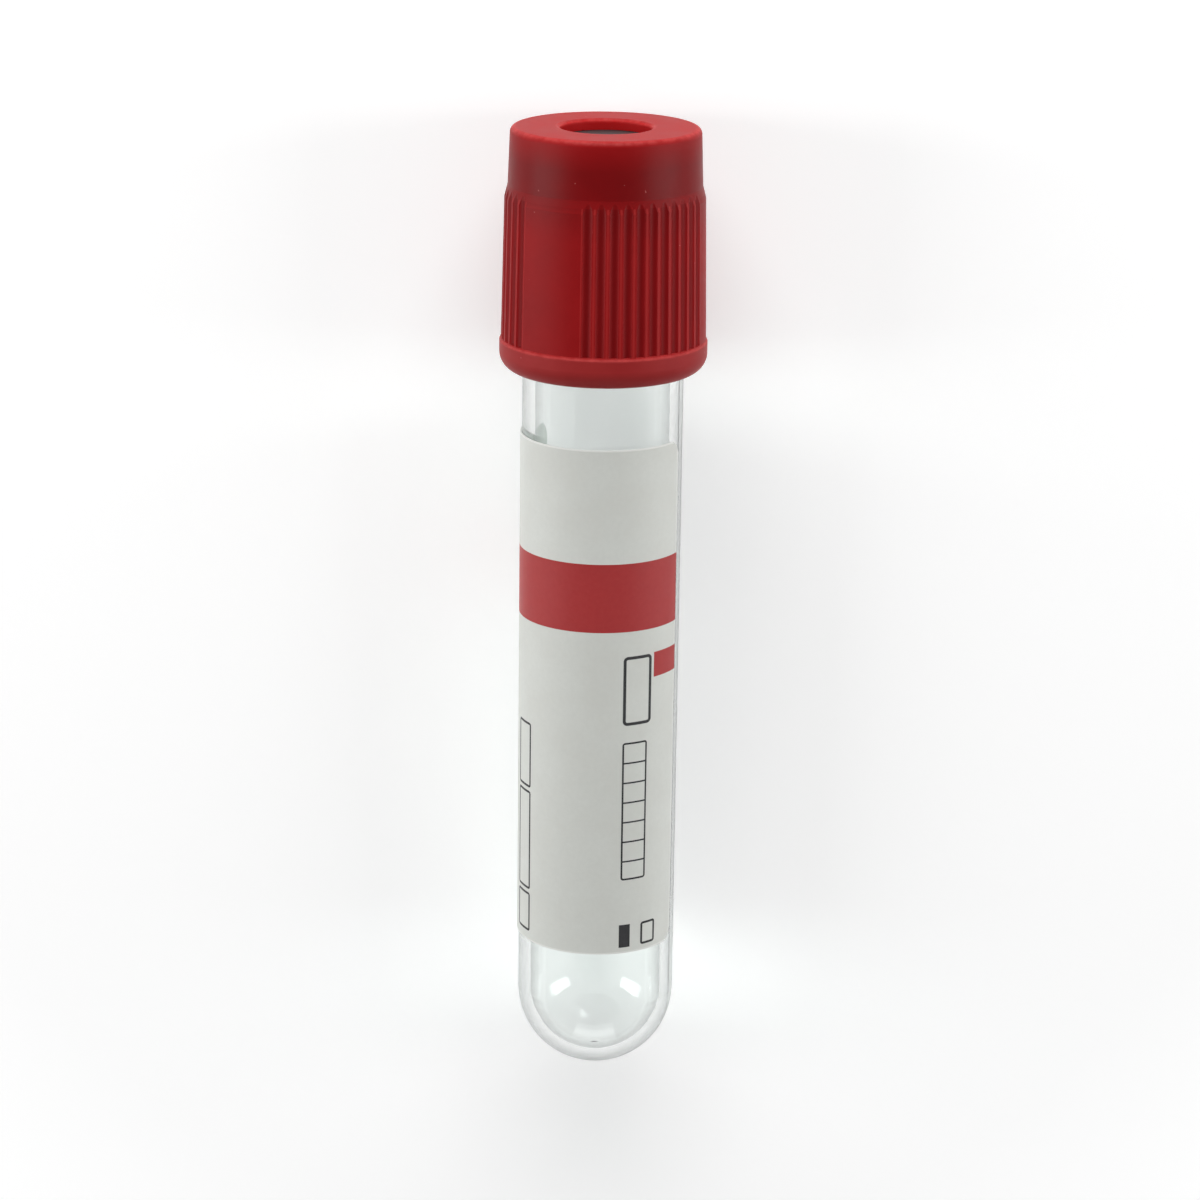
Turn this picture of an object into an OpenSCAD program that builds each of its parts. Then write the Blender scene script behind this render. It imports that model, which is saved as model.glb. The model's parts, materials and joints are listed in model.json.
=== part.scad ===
// Evacuated blood collection tube with a pull-off safety closure.
// The tube lies as it comes to rest: its round bottom and the band of the closure touch the ground.
// The closure points along +Y, the label faces up and the bare strip of glass faces down.
// Inside the modules the tube stands upright, and heights are measured from the tip of its round bottom.

/* [Tube] */
// Outside diameter of the tube
tube_d = 13; // [10:0.5:16]
// Length of the tube, from the tip of its round bottom to its mouth
tube_len = 75; // [60:1:120]
// Wall thickness of the tube
tube_wall = 1.05; // [0.8:0.05:1.3]

/* [Label] */
// Bare glass between the lower edge of the closure and the label
label_drop = 5.2; // [2:0.1:10]
// Bare glass between the label and the round bottom
label_rise = 5.3; // [2:0.1:10]
// How far the label wraps round the tube, in degrees
label_wrap = 192; // [120:1:300]
// Turn of the label's middle about the tube, from the upward side
label_turn = -28.5; // [-60:0.5:60]
// Thickness of the label's paper
label_paper = 0.1; // [0.08:0.01:0.2]
// Thickness of the adhesive under the paper
label_glue = 0.02; // [0.01:0.01:0.05]
// Radius of the label's rounded corners
label_corner = 1.6; // [0.5:0.1:3]

/* [Closure] */
// Height of the closure from its lower edge to its top
cap_h = 19.5; // [16:0.1:23]
// Height of the closure's top above the mouth of the tube
cap_above_mouth = 4.3; // [4:0.1:6]
// Thickness of the plate round the needle port
plate_h = 0.9; // [0.8:0.1:1.8]
// Diameter of the needle port in the plate
port_d = 7.3; // [5:0.1:9]
// Rounding of the port's upper edge
port_edge = 0.3; // [0.1:0.05:0.5]
// Rounding of the closure's top edge
top_edge = 0.5; // [0.2:0.05:0.8]
// Height of the smooth zone above the grip
smooth_h = 4.6; // [3:0.1:5]
// Wall of the smooth zone round the stopper's head
smooth_wall = 0.87; // [0.6:0.01:1.2]
// How far the foot of the smooth zone stands back from the top of the grip
smooth_inset = 0.25; // [0.1:0.05:0.4]
// Draft of the smooth zone, over its height
smooth_draft = 0.15; // [0:0.05:0.2]
// Height of the sloping shoulder between the smooth zone and the grip
shoulder_h = 1; // [0.5:0.1:2]
// Wall of the skirt at the top of the grip
skirt_wall = 0.65; // [0.6:0.05:1.2]
// Clearance all round between the tube and the skirt
skirt_clearance = 0.85; // [0.85:0.05:1.5]
// Clearance all round between the tube and the throat above the skirt
throat_clearance = 0.3; // [0.2:0.05:0.5]
// How far below the tube's mouth the skirt starts to narrow to the throat
throat_drop = 0.6; // [0.4:0.05:0.7]

/* [Grip] */
// Number of plain panels round the grip
panel_count = 3; // [2:1:4]
// Width of one plain panel, in degrees
panel_wrap = 37.5; // [20:0.5:42]
// Turn of the first plain panel about the tube, from the upward side
panel_turn = -32; // [-60:0.5:60]
// Number of flutes between two panels
flute_count = 11; // [5:1:12]
// Width of one flute
flute_w = 0.78; // [0.4:0.02:0.9]
// Depth of one flute
flute_deep = 0.18; // [0.1:0.02:0.3]
// Growth of the grip's radius from its top to its lower end
grip_draft = 0.22; // [0:0.02:0.4]

/* [Band] */
// Height of the band round the closure's lower edge
band_h = 2.6; // [1.5:0.1:4]
// How far the band stands out past the grip's lower end
band_lip = 0.13; // [0.05:0.01:0.3]
// Rounding of the band's lower edge
band_round = 1.5; // [0.3:0.05:1.6]
// Height of the slope at the band's upper edge
band_slope = 0.25; // [0.1:0.05:0.4]

/* [Stopper] */
// Length of the plug inside the tube
plug_len = 9; // [6:0.5:12]
// Radial clearance between the plug and the tube's bore
plug_clearance = 0.05; // [0.02:0.01:0.1]
// Chamfer at the lower end of the plug
plug_chamfer = 0.7; // [0.2:0.1:0.8]
// Diameter of the hollow in the underside of the plug
hollow_d = 6; // [4:0.1:6.2]
// Rounding at the closed end of the hollow
hollow_round = 1.5; // [0.5:0.1:1.9]
// Rubber left between the needle dish and the hollow
septum_h = 3.2; // [2:0.1:4]
// Diameter of the dish that guides the needle
dish_d = 3.4; // [2:0.1:4.5]
// Depth of the dish that guides the needle
dish_deep = 0.7; // [0.3:0.1:0.9]
// Thickness of the flange that closes on the tube's mouth
flange_h = 0.9; // [0.6:0.1:1.1]
// Thickness of the ledge in the closure that holds the stopper
ledge_h = 0.7; // [0.5:0.1:0.8]
// How far the ledge reaches in under the stopper's head
ledge_reach = 1.1; // [0.6:0.1:1.3]
// Clearance between the stopper and the closure that holds it
hold_clearance = 0.03; // [0.02:0.01:0.05]
// Clearance between the stopper's flange and the tube's mouth
mouth_clearance = 0.02; // [0.01:0.01:0.05]

/* [Hidden] */
$fn = 96;
over = 1; // how far a cut runs past what it cuts

// Tube
tube_r = tube_d / 2;
bore_r = tube_r - tube_wall;
rim_r = tube_wall / 2;

// Closure, outside: the top, the smooth zone, the shoulder, the grip and the band
cap_top = tube_len + cap_above_mouth;
cap_foot = cap_top - cap_h;
smooth_z = cap_top - smooth_h;
grip_z = smooth_z - shoulder_h;
band_z = cap_foot + band_h;
skirt_r = tube_r + skirt_clearance;
grip_top_r = skirt_r + skirt_wall;
grip_foot_r = grip_top_r + grip_draft;
smooth_foot_r = grip_top_r - smooth_inset;
smooth_top_r = smooth_foot_r - smooth_draft;
band_r = grip_foot_r + band_lip;
slope_z = band_z - band_slope;

// The band is rounded down to the bore of the skirt, which can lie outside the rounding's centre
round_r = band_r - band_round;
round_z = cap_foot + sqrt(pow(band_round, 2) - pow(max(skirt_r - round_r, 0), 2));

// Flutes are round-bottomed: this radius gives them their width and depth
flute_r = (pow(flute_w / 2, 2) + pow(flute_deep, 2)) / (2 * flute_deep);
flute_pitch = (360 / panel_count - panel_wrap) / flute_count;
flute_lean = atan(grip_draft / (grip_z - band_z));

// Stopper, from the mouth of the tube up: flange, neck, head; and the closure's ledge round the neck
flange_z = tube_len + mouth_clearance;
neck_z = flange_z + flange_h;
ledge_z = neck_z + hold_clearance;
head_z = ledge_z + ledge_h + hold_clearance;
plate_z = cap_top - plate_h;
port_r = port_d / 2;
head_top = plate_z - hold_clearance;
pocket_r = smooth_top_r - smooth_wall;
head_r = pocket_r - hold_clearance;
ledge_r = pocket_r - ledge_reach;
neck_r = ledge_r - hold_clearance;
plug_r = bore_r - plug_clearance;
plug_foot = tube_len - plug_len;
hollow_r = hollow_d / 2;
hollow_top = head_top - dish_deep - septum_h;
throat_r = tube_r + throat_clearance;
throat_foot = tube_len - throat_drop;

// Label
label_r = tube_r + label_glue;
label_top = cap_foot - label_drop;
label_foot = tube_r + label_rise;
corner_in = 0.96 * label_corner; // the corner's centre lies this far inside both edges, to cut them cleanly
corner_wrap = asin(corner_in / label_r);

// At rest the tube leans on its round bottom and on the rounding of the band
round_reach = round_z - tube_r;
rest_lean = atan2(round_r, round_reach)
    - asin((tube_r - band_round) / sqrt(pow(round_r, 2) + pow(round_reach, 2)));
// How far the closure reaches past the centre of the round bottom when the tube lies
lying_reach = (cap_top - top_edge - tube_r) * cos(rest_lean)
    + (smooth_top_r - top_edge) * sin(rest_lean) + top_edge;

// Lays an upright piece down on the ground, with the middle of the lying tube over the origin
module at_rest()
{
    translate([0, (tube_r - lying_reach) / 2, tube_r])
        rotate([rest_lean - 90, 0, 0])
            translate([0, 0, -tube_r])
                children();
}

// Turns a piece that faces +X to an angle about the tube, from the side that faces up at rest
module turned(angle)
{
    rotate([0, 0, angle - 90]) children();
}

// Profile from the axis out to radius r, between two heights
module core(r, low, high)
{
    translate([0, low]) square([r, high - low]);
}

// Profile from the axis out to a sloping wall, from radius r1 at the low end to r2 at the high end
module cone_core(r1, r2, low, high)
{
    polygon([[0, low], [r1, low], [r2, high], [0, high]]);
}

// Profile that ends in a rounded corner: up is 1 for a corner at the high end, -1 for one at the low end
module round_core(r, low, high, edge, up)
{
    centre_z = up > 0 ? high - edge : low + edge;
    core(r, up > 0 ? low : centre_z, up > 0 ? centre_z : high);
    core(r - edge, low, high);
    translate([r - edge, centre_z]) circle(edge);
}

// The tube: a round bottom, a straight wall and a fire-polished rim
module tube()
{
    color([0.86, 0.9, 0.9, 0.35])
        at_rest()
            rotate_extrude()
            {
                difference()
                {
                    union()
                    {
                        translate([0, tube_r]) circle(tube_r);
                        core(tube_r, tube_r, tube_len - rim_r);
                    }
                    translate([0, tube_r]) circle(bore_r);
                    core(bore_r, tube_r, tube_len);
                    translate([-2 * tube_r, -over]) square([2 * tube_r, tube_len]);
                }
                translate([tube_r - rim_r, tube_len - rim_r]) circle(rim_r);
            }
}

// A strip bent round the tube from a start angle, between two heights; extra thickens it on both faces
module bent_strip(start, wrap, low, high, extra = 0)
{
    rotate([0, 0, start])
        rotate_extrude(angle = wrap)
            translate([label_r - extra, low])
                square([label_paper + 2 * extra, high - low]);
}

// What rounding takes off one corner of the label: side is -1 or 1 round the tube, up is -1 or 1 along it
module corner_waste(side, up)
{
    edge_z = up > 0 ? label_top : label_foot;
    centre_z = edge_z - up * corner_in;
    centre_wrap = side * (label_wrap / 2 - corner_wrap);
    outer_wrap = side * (label_wrap / 2 + corner_wrap);
    outer_z = edge_z + up * over;
    difference()
    {
        bent_strip(min(centre_wrap, outer_wrap), 2 * corner_wrap, min(centre_z, outer_z),
            max(centre_z, outer_z), label_paper);
        rotate([0, 0, centre_wrap])
            translate([0, 0, centre_z])
                rotate([0, 90, 0])
                    cylinder(r = label_corner, h = tube_d);
    }
}

// The label: a paper strip with rounded corners, wrapped a little over half way round the glass
module label()
{
    color([0.93, 0.93, 0.91])
        at_rest()
            turned(label_turn)
                difference()
                {
                    bent_strip(-label_wrap / 2, label_wrap, label_foot, label_top);
                    for (side = [-1, 1], up = [-1, 1])
                        corner_waste(side, up);
                }
}

// The stopper: a head with a needle dish, a neck, a flange over the tube's mouth and a hollow plug
module stopper()
{
    color([0.13, 0.13, 0.14])
        at_rest()
            rotate_extrude()
                difference()
                {
                    union()
                    {
                        core(head_r, head_z, head_top);
                        core(neck_r, neck_z, head_z);
                        core(tube_r, flange_z, neck_z);
                        core(plug_r, plug_foot + plug_chamfer, flange_z);
                        cone_core(plug_r - plug_chamfer, plug_r, plug_foot, plug_foot + plug_chamfer);
                    }
                    cone_core(dish_d / 4, dish_d / 2, head_top - dish_deep, head_top);
                    round_core(hollow_r, plug_foot - over, hollow_top, hollow_round, 1);
                }
}

// Outline of the closure, from the axis to its outer face
module cap_outline()
{
    cone_core(smooth_foot_r, smooth_top_r, smooth_z, cap_top - top_edge);
    core(smooth_top_r - top_edge, cap_top - top_edge, cap_top);
    translate([smooth_top_r - top_edge, cap_top - top_edge]) circle(top_edge);
    cone_core(grip_top_r, smooth_foot_r, grip_z, smooth_z);
    cone_core(grip_foot_r, grip_top_r, band_z, grip_z);
    cone_core(band_r, grip_foot_r, slope_z, band_z);
    round_core(band_r, round_z - band_round, slope_z, band_round, -1);
}

// What is open inside the closure: skirt, throat, the pocket over the ledge, and the needle port
module cap_hollow()
{
    core(skirt_r, cap_foot - over, throat_foot);
    cone_core(skirt_r, throat_r, throat_foot, throat_foot + skirt_r - throat_r);
    core(throat_r, throat_foot, ledge_z);
    core(ledge_r, ledge_z, head_z);
    core(pocket_r, head_z - hold_clearance, plate_z);
    core(port_r, plate_z, cap_top + over);
}

// The rounded edge at the top of the needle port, as what it takes off the plate
module port_rounding()
{
    difference()
    {
        core(port_r + port_edge, cap_top - port_edge, cap_top + over);
        translate([port_r + port_edge, cap_top - port_edge]) circle(port_edge);
    }
}

// One flute of the grip, on the +X side: it leans with the grip's draft and runs out on the sloping shoulder
module flute()
{
    translate([grip_foot_r - flute_deep + flute_r, 0, band_z])
        rotate([0, -flute_lean, 0])
            cylinder(r = flute_r, h = smooth_z - band_z);
}

// The closure: one moulding with a plate, a pocket for the stopper, and a fluted skirt over the tube
module cap()
{
    color([0.66, 0.09, 0.1])
        at_rest()
            difference()
            {
                rotate_extrude()
                    difference()
                    {
                        cap_outline();
                        cap_hollow();
                        port_rounding();
                        translate([-band_r, 0]) square([band_r, cap_top + over]);
                    }
                for (panel = [0:panel_count - 1], i = [0:flute_count - 1])
                    turned(panel_turn + panel * 360 / panel_count + panel_wrap / 2 + (i + 0.5) * flute_pitch)
                        flute();
            }
}

tube();
label();
stopper();
cap();
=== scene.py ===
"""The looks of a blood collection tube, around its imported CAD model.

The tube lies on the floor with its closure towards +Y. Every colour is worked out from where a point lies
on the tube: its drop below the closure's top face, its turn about the tube and its distance from the axis.
"""

import json
import math

import bpy
from mathutils import Matrix, Quaternion, Vector


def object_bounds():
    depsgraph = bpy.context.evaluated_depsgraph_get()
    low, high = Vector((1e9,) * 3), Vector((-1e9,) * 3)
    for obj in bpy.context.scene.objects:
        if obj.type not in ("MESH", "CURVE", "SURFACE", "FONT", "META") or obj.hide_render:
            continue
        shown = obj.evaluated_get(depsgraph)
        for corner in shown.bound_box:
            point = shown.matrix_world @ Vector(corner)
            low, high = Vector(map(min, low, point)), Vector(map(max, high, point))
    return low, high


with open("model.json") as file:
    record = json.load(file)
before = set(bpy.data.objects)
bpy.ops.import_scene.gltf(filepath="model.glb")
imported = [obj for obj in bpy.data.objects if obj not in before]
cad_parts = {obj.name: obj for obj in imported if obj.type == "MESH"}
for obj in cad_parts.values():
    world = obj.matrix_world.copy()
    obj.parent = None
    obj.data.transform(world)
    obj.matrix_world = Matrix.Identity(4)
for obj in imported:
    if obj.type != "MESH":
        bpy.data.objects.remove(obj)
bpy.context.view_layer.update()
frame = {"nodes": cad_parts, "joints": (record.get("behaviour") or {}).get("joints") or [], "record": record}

MM = 0.001

# ---------------------------------------------------------------- the tube's own directions
mounts = {mount["name"]: mount for mount in frame["record"]["mounts"]}
TOP = Vector(mounts["closure_top"]["pos_m"])  # middle of the closure's top face
ALONG = Vector(frame["joints"][0]["axis"]).normalized()  # along the tube, towards the closure
SIDE = Vector((1, 0, 0))
FRONT = SIDE.cross(ALONG)  # up from the floor, to the side that the label faces


# ---------------------------------------------------------------- node helpers
class Graph:
    """The node tree of one material, with short calls for what this script needs."""

    def __init__(self, name):
        self.material = bpy.data.materials.new(name)
        self.material.use_nodes = True
        self.tree = self.material.node_tree
        self.shader = self.tree.nodes["Principled BSDF"]
        self.output = self.tree.nodes["Material Output"]

    def node(self, kind, **settings):
        made = self.tree.nodes.new(kind)
        for key, value in settings.items():
            setattr(made, key, value)
        return made

    def feed(self, socket, value):
        """Links a socket to another node's output, or sets it to a number or colour."""
        if isinstance(value, bpy.types.NodeSocket):
            self.tree.links.new(value, socket)
        else:
            socket.default_value = value

    def math(self, operation, *values):
        made = self.node("ShaderNodeMath", operation=operation)
        for socket, value in zip(made.inputs, values):
            self.feed(socket, value)
        return made.outputs[0]

    def dot(self, vector, direction):
        made = self.node("ShaderNodeVectorMath", operation="DOT_PRODUCT")
        self.feed(made.inputs[0], vector)
        made.inputs[1].default_value = direction
        return made.outputs["Value"]

    def mix(self, share, low, high):
        made = self.node("ShaderNodeMix", data_type="RGBA")
        self.feed(made.inputs["Factor"], share)
        self.feed(made.inputs[6], low)
        self.feed(made.inputs[7], high)
        return made.outputs[2]

    def scale(self, value, from_low, from_high, to_low, to_high):
        made = self.node("ShaderNodeMapRange", clamp=True)
        for socket, number in zip(made.inputs, (value, from_low, from_high, to_low, to_high)):
            self.feed(socket, number)
        return made.outputs[0]

    def noise(self, vector, scale, detail=2.0, roughness=0.5):
        made = self.node("ShaderNodeTexNoise")
        self.feed(made.inputs["Vector"], vector)
        self.feed(made.inputs["Scale"], scale)
        self.feed(made.inputs["Detail"], detail)
        self.feed(made.inputs["Roughness"], roughness)
        return made.outputs["Fac"]

    def bump(self, height, distance, strength=1.0, before=None):
        made = self.node("ShaderNodeBump")
        self.feed(made.inputs["Height"], height)
        made.inputs["Distance"].default_value = distance
        made.inputs["Strength"].default_value = strength
        if before is not None:
            self.feed(made.inputs["Normal"], before)
        return made.outputs["Normal"]

    def set(self, **values):
        """Sets inputs of the shader: base_color=... sets "Base Color"."""
        for key, value in values.items():
            name = key.replace("_", " ").title().replace("Ior", "IOR")
            self.feed(self.shader.inputs[name], value)

    def place(self):
        """Where a point lies, measured from the middle of the closure's top face.

        Gives the offset as a vector in metres, the drop along the tube in mm, the turn about the tube in
        degrees and the distance from its axis in mm.
        """
        where = self.node("ShaderNodeTexCoord").outputs["Object"]
        offset = self.node("ShaderNodeVectorMath", operation="SUBTRACT")
        self.feed(offset.inputs[0], where)
        offset.inputs[1].default_value = TOP
        offset = offset.outputs[0]
        drop = self.dot(offset, ALONG / -MM)
        side = self.dot(offset, SIDE / MM)
        front = self.dot(offset, FRONT / MM)
        turn = self.math("MULTIPLY", self.math("ARCTAN2", side, front), math.degrees(1))
        return offset, drop, turn, self.length(side, front)

    def length(self, one, other):
        """The length of the diagonal over two distances at right angles."""
        return self.math("SQRT", self.math("MULTIPLY_ADD", one, one, self.math("MULTIPLY", other, other)))


def rgb(red, green, blue):
    """An sRGB colour from 0 to 255 as Blender's linear colour."""

    def linear(value):
        value /= 255
        return value / 12.92 if value <= 0.04045 else ((value + 0.055) / 1.055) ** 2.4

    return linear(red), linear(green), linear(blue), 1.0


def finish_with(node, graph):
    """Gives a CAD node its material."""
    slots = frame["nodes"][node].data.materials
    for index in range(len(slots)):
        slots[index] = graph.material


# ---------------------------------------------------------------- the closure: satin moulded plastic
GRIP_TOP = 5.6  # mm below the closure's top face
GRIP_FOOT = 16.9
GRIP_TOP_RADIUS = 8.0
GRIP_FOOT_RADIUS = 8.22
PANELS = 3
PANEL_END = -13.25  # turn at which a plain panel ends and its flutes begin, in degrees
FLUTE_PITCH = 7.5
FLUTED = 82.5  # width of the fluted part between two panels
FLUTE_DEPTH = 0.18
TOP_EDGE = (7.35, 0.12)  # radius and drop of the worn, lighter line round the top, partly a painted highlight
PORT_EDGE = (3.77, 0.1)  # and of the one round the port
TOP_LIGHT_FADES = (0.4, 2.4)  # drops over which the textured top, paler near the rim as painted light, turns into the smooth zone
GRIP_SHADE_LIFTS = (4.4, 8.0)  # and over which the smooth zone's painted shade lifts into the textured grip

# spots of each noise in a metre
CLOUD = 240
MOTTLE = 1500
DUST = 2400
GRAIN = 5200

# the smooth zone's reds are darker than the textured ones: partly its smooth finish, partly painted shade
SHADED_SMOOTH_REDS = rgb(110, 6, 9), rgb(120, 9, 12)
TEXTURED_REDS = rgb(136, 12, 15), rgb(146, 17, 20)
# the band's reds are paler and pinker than the grip's: a painted sheen on its rounding
BAND_SHEEN_REDS = rgb(146, 36, 37), rgb(154, 43, 43)
# the top face and the port's wall are painted brighter than the grip: painted light
LIT_TOP_REDS = rgb(149, 14, 16), rgb(159, 19, 21)
LIT_PORT_RED = rgb(188, 28, 30)
# painted shade in the flutes and a painted highlight on their ridges
GROOVE_SHADE_RED = rgb(106, 4, 7)
RIDGE_HIGHLIGHT_RED = rgb(176, 52, 50)
# lighter rims: wear, and a painted highlight where the edges catch the light
WORN_AND_LIT_RED = rgb(196, 74, 72)
DUST_ON_RED = rgb(200, 120, 116)


def closure_plastic():
    g = Graph("closure_plastic")
    offset, drop, turn, radius = g.place()
    cloud = g.noise(offset, CLOUD, 3.0, 0.55)
    grain = g.noise(offset, GRAIN, 2.0, 0.6)
    mottle = g.noise(offset, MOTTLE, 3.0, 0.6)

    # the mould's texture makes the grip, the band and the top face a little paler than the smooth zone; the
    # smooth zone's darker red is also painted shade, which fades into the grip and the top face
    texture_and_light = g.math("MAXIMUM", g.scale(drop, *GRIP_SHADE_LIFTS, 0, 1), g.scale(drop, *TOP_LIGHT_FADES, 1, 0))
    shade = g.scale(cloud, 0.3, 0.7, 0, 1)
    colour = g.mix(texture_and_light, g.mix(shade, *SHADED_SMOOTH_REDS), g.mix(shade, *TEXTURED_REDS))
    # the band is painted a paler, pinker red, a painted sheen
    on_band = g.math("GREATER_THAN", drop, GRIP_FOOT + 0.1)
    colour = g.mix(on_band, colour, g.mix(shade, *BAND_SHEEN_REDS))

    # the flat top and the wall of the port are painted a brighter red: painted light that falls on the top
    # and into the port
    on_top = g.math("LESS_THAN", drop, TOP_EDGE[1])
    colour = g.mix(on_top, colour, g.mix(shade, *LIT_TOP_REDS))
    in_port = g.math("LESS_THAN", radius, PORT_EDGE[0] - 0.05)
    colour = g.mix(in_port, colour, LIT_PORT_RED)

    # the flutes are painted darker, a painted shade, and the ridges between them are painted lighter, a
    # painted highlight
    land = g.scale(drop, GRIP_TOP, GRIP_FOOT, GRIP_TOP_RADIUS, GRIP_FOOT_RADIUS)
    depth = g.math("SUBTRACT", land, radius)
    below_top = g.math("GREATER_THAN", drop, GRIP_TOP - 0.4)
    on_grip = g.math("MULTIPLY", below_top, g.math("LESS_THAN", drop, GRIP_FOOT))
    groove = g.math("MULTIPLY", g.scale(depth, 0.03, FLUTE_DEPTH, 0, 1), on_grip)
    colour = g.mix(g.math("MULTIPLY", groove, 0.75), colour, GROOVE_SHADE_RED)
    past_panel = g.math("FLOORED_MODULO", g.math("SUBTRACT", turn, PANEL_END), 360 / PANELS)
    step = g.math("FRACT", g.math("DIVIDE", past_panel, FLUTE_PITCH))
    ridge = g.scale(g.math("ABSOLUTE", g.math("SUBTRACT", step, 0.5)), 0.38, 0.46, 0, 1)
    ridge = g.math("MULTIPLY", g.math("MULTIPLY", ridge, on_grip), g.math("LESS_THAN", past_panel, FLUTED))
    colour = g.mix(g.math("MULTIPLY", ridge, 0.4), colour, RIDGE_HIGHLIGHT_RED)

    # the edges that fingers and racks touch are worn a little lighter, unevenly; the lighter rims are also a
    # painted highlight where the edges catch the light
    def near(edge, reach):
        away = g.math("SUBTRACT", radius, edge[0])
        down = g.math("SUBTRACT", drop, edge[1])
        return g.scale(g.length(away, down), 0.08, reach, 1, 0)

    from_band_rim = g.math("ABSOLUTE", g.math("SUBTRACT", drop, GRIP_FOOT + 0.16))
    band_rim = g.scale(from_band_rim, 0.04, 0.22, 1, 0)
    rims = g.math("MAXIMUM", g.math("MAXIMUM", near(TOP_EDGE, 0.36), near(PORT_EDGE, 0.3)), band_rim)
    worn_and_lit = g.math("MULTIPLY", rims, g.scale(mottle, 0.35, 0.62, 0.1, 0.42))
    colour = g.mix(worn_and_lit, colour, WORN_AND_LIT_RED)

    # a few specks of dust
    specks = g.scale(g.noise(offset, DUST, 0.0, 0.5), 0.87, 0.89, 0, 0.45)
    colour = g.mix(specks, colour, DUST_ON_RED)

    rough = g.math("ADD", g.scale(cloud, 0.3, 0.7, 0.36, 0.42), g.math("MULTIPLY", texture_and_light, 0.08))
    g.set(
        base_color=colour,
        roughness=g.math("ADD", rough, g.math("MULTIPLY", groove, 0.06)),
        ior=1.48,
        specular_ior_level=0.1,
        normal=g.bump(grain, 0.005 * MM, 0.6, g.bump(mottle, 0.006 * MM, 0.35)),
    )
    return g


# ---------------------------------------------------------------- the tube: clear glass
MOUTH = 4.3  # mm below the closure's top face
PALE_RIM = (0.35, 0.75)  # mm below the mouth between which the rim's painted paleness fades
DRAWN = (1.0, 0.06, 1.0)  # stretches the waves along the tube
WAVES = 420  # spots of each noise in a metre
SMEARS = 190
EDGE_SHARE = (0.45, 0.92)  # values of Facing over which the wall darkens
CLEAR_TINTS = rgb(240, 243, 242), rgb(246, 248, 247)
# the wall near its outline is painted darker, partly a painted shade
EDGE_SHADE_TINT = rgb(112, 119, 118)
SHADOW_TINT = rgb(246, 249, 248)
EDGE_SHADOW_TINT = rgb(150, 157, 155)


def clear_glass():
    g = Graph("clear_glass")
    offset, drop, _, _ = g.place()
    # drawn tube is a little wavy along its length, and handling leaves faint smears on it
    stretched = g.node("ShaderNodeVectorMath", operation="MULTIPLY")
    g.feed(stretched.inputs[0], offset)
    stretched.inputs[1].default_value = DRAWN
    wave = g.noise(stretched.outputs[0], WAVES, 1.0, 0.4)
    smear = g.noise(offset, SMEARS, 3.0, 0.62)
    # towards its outline the wall is looked through lengthwise, so it darkens there; the darkening is also a
    # painted shade for dark surroundings seen in the edge
    facing = g.node("ShaderNodeLayerWeight").outputs["Facing"]
    edge = g.scale(facing, *EDGE_SHARE, 0, 1)
    g.set(
        base_color=g.mix(edge, g.mix(smear, *CLEAR_TINTS), EDGE_SHADE_TINT),
        roughness=g.scale(smear, 0.5, 0.72, 0.0, 0.05),
        ior=1.5,
        # the rim is made half diffuse, so that it renders pale instead of dark: painted light at the mouth
        transmission_weight=g.scale(drop, MOUTH + PALE_RIM[0], MOUTH + PALE_RIM[1], 0.5, 1.0),
        normal=g.bump(wave, 0.012 * MM, 0.5),
    )
    # rays from the lamps pass straight through, so that they light the label's back and the floor
    straight = g.node("ShaderNodeBsdfTransparent")
    g.feed(straight.inputs["Color"], g.mix(edge, SHADOW_TINT, EDGE_SHADOW_TINT))
    choose = g.node("ShaderNodeMixShader")
    g.feed(choose.inputs[0], g.node("ShaderNodeLightPath").outputs["Is Shadow Ray"])
    g.feed(choose.inputs[1], g.shader.outputs[0])
    g.feed(choose.inputs[2], straight.outputs[0])
    g.feed(g.output.inputs["Surface"], choose.outputs[0])
    return g


# ---------------------------------------------------------------- the stopper: dark matt rubber
RUBBER_GRAIN = 3000
RUBBER_DARKS = rgb(30, 22, 23), rgb(46, 33, 34)


def dark_rubber():
    g = Graph("dark_rubber")
    offset, _, _, _ = g.place()
    grain = g.noise(offset, RUBBER_GRAIN, 3.0, 0.6)
    g.set(
        base_color=g.mix(grain, *RUBBER_DARKS),
        roughness=0.62,
        normal=g.bump(grain, 0.01 * MM, 0.7),
    )
    return g


# ---------------------------------------------------------------- the label: printed paper
LABEL_TOP = 24.7  # mm below the closure's top face
LABEL_FOOT = 67.5
LABEL_RADIUS = 6.62  # of its outer face
LABEL_BACK = 6.57  # the radius that parts its back from its face
LABEL_RIGHT = 67.5  # degrees round the tube from its front
LABEL_LEFT = -124.5
CELLS = 7  # of the column for a code, down the label's right part
CELLS_TOP = 49.2
CELL_PITCH = 1.7
CELL_SIDES = (3.6, 5.75)
CELL_LINE = 0.14
RED_BAND = (34.1, 39.8)  # drops of its two edges
INNER = (0.16, 22.02)  # how far from the right end the paper lies between its cut ends
CUT = 0.14  # width of the paler band along the label's top and foot, a painted highlight on its cut edge

# boxes: both sides in mm from one end of the label, then the drops of top and foot
RED_BLOCK = (-1, 2.95, 41.85, 43.95)
BAR = (4.9, 5.87, 65.0, 67.0)

# frames: the same, then the line's width, and the corner's radius where it isn't the usual one
WIDE_FRAME = (3.2, 5.8, 41.9, 47.75, 0.26, 0.4)
CELLS_FRAME = (3.55, 5.8, CELLS_TOP, CELLS_TOP + CELLS * CELL_PITCH, 0.16)
LEFT_FRAMES = ((5.7, 7.9, 48.5, 54.1, 0.2), (5.7, 7.9, 54.4, 63.0, 0.2), (5.7, 7.9, 63.3, 66.7, 0.2))
SQUARE_FRAME = (2.4, 3.9, 65.0, 67.0, 0.2)

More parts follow.
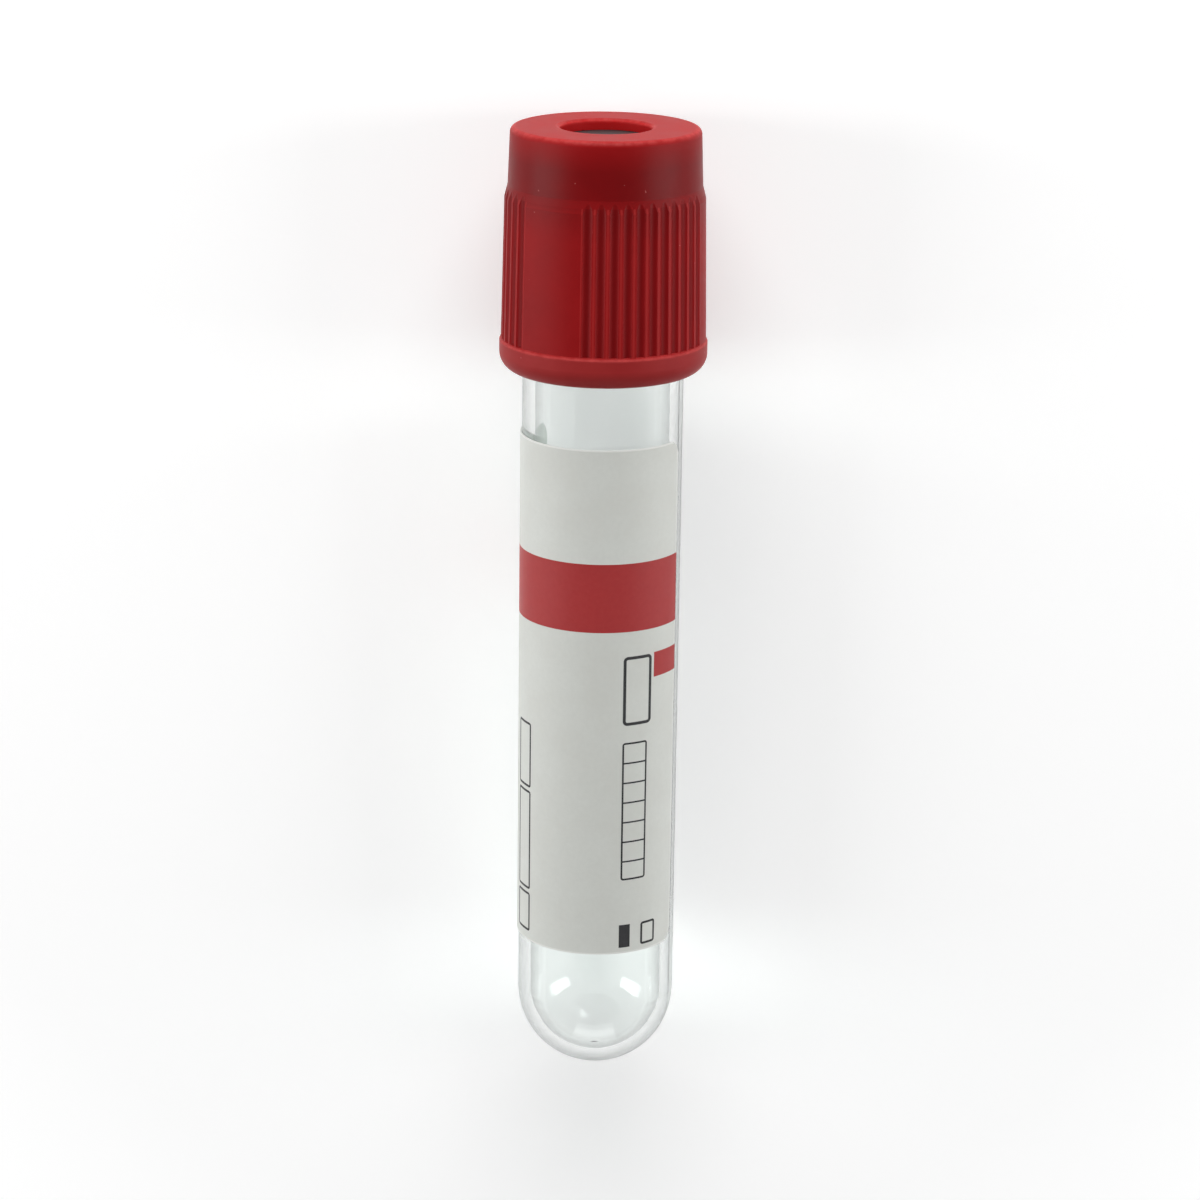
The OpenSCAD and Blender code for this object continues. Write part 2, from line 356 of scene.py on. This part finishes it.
FIBRE = 2600
PAPER_CLOUD = 320
PAPER_WHITES = rgb(212, 214, 209), rgb(220, 222, 217)
PAPER_CLOUDED = rgb(208, 208, 202)
# the cut edges are painted paler: a painted highlight
PAPER_EDGE_HIGHLIGHT = rgb(232, 233, 229)
# the back is painted paler than the face: painted light inside the tube
PAPER_BACK_LIT = rgb(222, 224, 220)
RED_INKS = rgb(164, 46, 47), rgb(173, 56, 56)
DARK_INKS = rgb(36, 36, 38), rgb(52, 52, 54)


def printed_paper():
    g = Graph("printed_paper")
    offset, drop, turn, radius = g.place()
    from_right = g.math("MULTIPLY", g.math("SUBTRACT", LABEL_RIGHT, turn), math.radians(LABEL_RADIUS))
    from_left = g.math("MULTIPLY", g.math("SUBTRACT", turn, LABEL_LEFT), math.radians(LABEL_RADIUS))

    def inside(value, low, high):
        return g.math("MULTIPLY", g.math("GREATER_THAN", value, low), g.math("LESS_THAN", value, high))

    def box(across, left, right, top, foot):
        return g.math("MULTIPLY", inside(across, left, right), inside(drop, top, foot))

    def frame_of(across, left, right, top, foot, line, corner=0.25):
        """The outline of a box with rounded corners: where the distance from the box is within the line."""
        half = ((right - left) / 2 - corner, (foot - top) / 2 - corner)
        sideways = g.math("ABSOLUTE", g.math("SUBTRACT", across, (left + right) / 2))
        down = g.math("ABSOLUTE", g.math("SUBTRACT", drop, (top + foot) / 2))
        past_side = g.math("MAXIMUM", g.math("SUBTRACT", sideways, half[0]), 0.0)
        past_end = g.math("MAXIMUM", g.math("SUBTRACT", down, half[1]), 0.0)
        return inside(g.length(past_side, past_end), corner - line, corner)

    def together(*masks):
        total = masks[0]
        for mask in masks[1:]:
            total = g.math("MAXIMUM", total, mask)
        return total

    # a thin line under every cell but the last
    cell_end = CELLS_TOP + CELLS * CELL_PITCH
    down_cell = g.math("FLOORED_MODULO", g.math("SUBTRACT", drop, CELLS_TOP), CELL_PITCH)
    rungs = g.math("LESS_THAN", down_cell, CELL_LINE)
    cells = g.math("MULTIPLY", rungs, box(from_right, *CELL_SIDES, CELLS_TOP + 0.3, cell_end - 0.3))

    red = together(inside(drop, *RED_BAND), box(from_right, *RED_BLOCK))
    dark = together(
        frame_of(from_right, *WIDE_FRAME),
        frame_of(from_right, *CELLS_FRAME),
        cells,
        *(frame_of(from_left, *sides) for sides in LEFT_FRAMES),
        box(from_right, *BAR),
        frame_of(from_right, *SQUARE_FRAME),
    )
    fibre = g.noise(offset, FIBRE, 3.0, 0.6)
    cloud = g.noise(offset, PAPER_CLOUD, 2.0, 0.5)
    paper = g.mix(fibre, *PAPER_WHITES)
    paper = g.mix(g.scale(cloud, 0.35, 0.65, 0, 0.3), paper, PAPER_CLOUDED)
    # the cut edges are painted lighter: a painted highlight where they catch the light
    inner = box(from_right, *INNER, LABEL_TOP + CUT, LABEL_FOOT - CUT)
    paper = g.mix(inner, PAPER_EDGE_HIGHLIGHT, paper)
    ink = g.mix(fibre, *RED_INKS)
    front = g.mix(dark, g.mix(red, paper, ink), g.mix(fibre, *DARK_INKS))
    # the red shows faintly through to the back; the back's paper is painted paler than the face, as painted
    # light where the inside of the tube lies in shade
    back = g.mix(g.math("MULTIPLY", red, 0.25), PAPER_BACK_LIT, ink)
    g.set(
        base_color=g.mix(g.math("GREATER_THAN", radius, LABEL_BACK), back, front),
        roughness=g.scale(red, 0, 1, 0.5, 0.42),
        specular_ior_level=0.25,
        normal=g.bump(fibre, 0.004 * MM, 0.5),
        subsurface_weight=0.5,
        subsurface_scale=0.15 * MM,
    )
    g.shader.inputs["Subsurface Radius"].default_value = (1.0, 1.0, 1.0)
    return g


finish_with("cap", closure_plastic())
finish_with("tube", clear_glass())
finish_with("stopper", dark_rubber())
finish_with("label", printed_paper())

# ---------------------------------------------------------------- floor and backdrop
FLOOR_REACH = 1.5  # metres from the middle to each side
GLOW_GROWS = (0.06, 0.30)  # metres from the middle over which the floor's glow grows
GLOW = (0.33, 1.0)  # its strength near the tube and far away
DIM_LIGHT = 0.11  # strength of the backdrop as a light
WHITE = (1, 1, 1, 1)

low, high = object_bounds()
middle = (low + high) / 2


def seen_directly(tree):
    """1 for a ray from the camera, or one that a mirror or clear glass passes on, and 0 for any other."""
    path = tree.nodes.new("ShaderNodeLightPath")
    total = path.outputs["Is Camera Ray"]
    for name in ("Is Glossy Ray", "Is Transmission Ray"):
        either = tree.nodes.new("ShaderNodeMath")
        either.operation = "MAXIMUM"
        tree.links.new(total, either.inputs[0])
        tree.links.new(path.outputs[name], either.inputs[1])
        total = either.outputs[0]
    return total


def floor():
    mesh = bpy.data.meshes.new("floor")
    corners = [(x * FLOOR_REACH, y * FLOOR_REACH, low.z) for x, y in ((-1, -1), (1, -1), (1, 1), (-1, 1))]
    mesh.from_pydata(corners, [], [(0, 1, 2, 3)])
    plane = bpy.data.objects.new("floor", mesh)
    bpy.context.scene.collection.objects.link(plane)
    g = Graph("floor_white")
    g.set(base_color=rgb(235, 235, 235), roughness=0.9)
    glow = g.node("ShaderNodeEmission")
    glow.inputs["Color"].default_value = WHITE
    # far from the tube, where the lamps fade, the floor is white by its own glow
    distance = g.node("ShaderNodeVectorMath", operation="LENGTH")
    g.feed(distance.inputs[0], g.node("ShaderNodeTexCoord").outputs["Object"])
    strength = g.scale(distance.outputs["Value"], *GLOW_GROWS, *GLOW)
    g.feed(glow.inputs["Strength"], g.math("MULTIPLY", seen_directly(g.tree), strength))
    both = g.node("ShaderNodeAddShader")
    g.feed(both.inputs[0], g.shader.outputs[0])
    g.feed(both.inputs[1], glow.outputs[0])
    g.feed(g.output.inputs["Surface"], both.outputs[0])
    mesh.materials.append(g.material)


def backdrop():
    world = bpy.data.worlds.new("studio")
    bpy.context.scene.world = world
    world.use_nodes = True
    tree = world.node_tree
    dim = tree.nodes["Background"]
    dim.inputs["Color"].default_value = WHITE
    dim.inputs["Strength"].default_value = DIM_LIGHT
    bright = tree.nodes.new("ShaderNodeBackground")
    bright.inputs["Color"].default_value = WHITE
    bright.inputs["Strength"].default_value = 1.0
    choose = tree.nodes.new("ShaderNodeMixShader")
    tree.links.new(seen_directly(tree), choose.inputs[0])
    tree.links.new(dim.outputs[0], choose.inputs[1])
    tree.links.new(bright.outputs[0], choose.inputs[2])
    tree.links.new(choose.outputs[0], tree.nodes["World Output"].inputs["Surface"])


def lamp(name, place, width, height, watts):
    """A soft box that faces the middle of the tube. place is in metres from there."""
    data = bpy.data.lights.new(name, "AREA")
    data.shape = "RECTANGLE"
    data.size, data.size_y = width, height
    data.energy = watts
    light = bpy.data.objects.new(name, data)
    bpy.context.scene.collection.objects.link(light)
    light.location = middle + Vector(place)
    light.rotation_mode = "QUATERNION"
    light.rotation_quaternion = (-Vector(place)).to_track_quat("-Z", "Y")


floor()
backdrop()
lamp("left_box", (-0.44, 0.04, 0.08), width=0.14, height=0.50, watts=1.61)
lamp("right_box", (0.44, 0.04, 0.08), width=0.14, height=0.50, watts=1.42)
lamp("end_box", (0.0, 0.50, 0.20), width=0.50, height=0.30, watts=3.0)
lamp("foot_fill", (0.0, -0.46, 0.20), width=0.40, height=0.20, watts=0.36)

# ---------------------------------------------------------------- camera
EYE_BEYOND = 0.048  # metres that the camera stands beyond the closure's top, along the tube
EYE_OUT = 0.290  # and metres out from the tube
AIM_DROP = 0.0390  # the point of the axis that it looks at, in metres below the closure's top
ROLL = math.radians(0.75)  # the tube leans a little to the left in the frame
LENS = 111
camera_data = bpy.data.cameras.new("camera")
camera = bpy.data.objects.new("camera", camera_data)
bpy.context.scene.collection.objects.link(camera)
bpy.context.scene.camera = camera
camera.location = TOP + ALONG * EYE_BEYOND + FRONT * EYE_OUT
back = (camera.location - TOP + ALONG * AIM_DROP).normalized()
across = ALONG.cross(back).normalized()
turned = Matrix((across, back.cross(across), back)).transposed()  # the closure is at the top of the frame
camera.rotation_mode = "QUATERNION"
camera.rotation_quaternion = turned.to_quaternion() @ Quaternion((0, 0, 1), ROLL)
camera_data.lens = LENS
camera_data.clip_start = 0.01
camera_data.clip_end = 20

bpy.context.scene.view_settings.view_transform = "Standard"
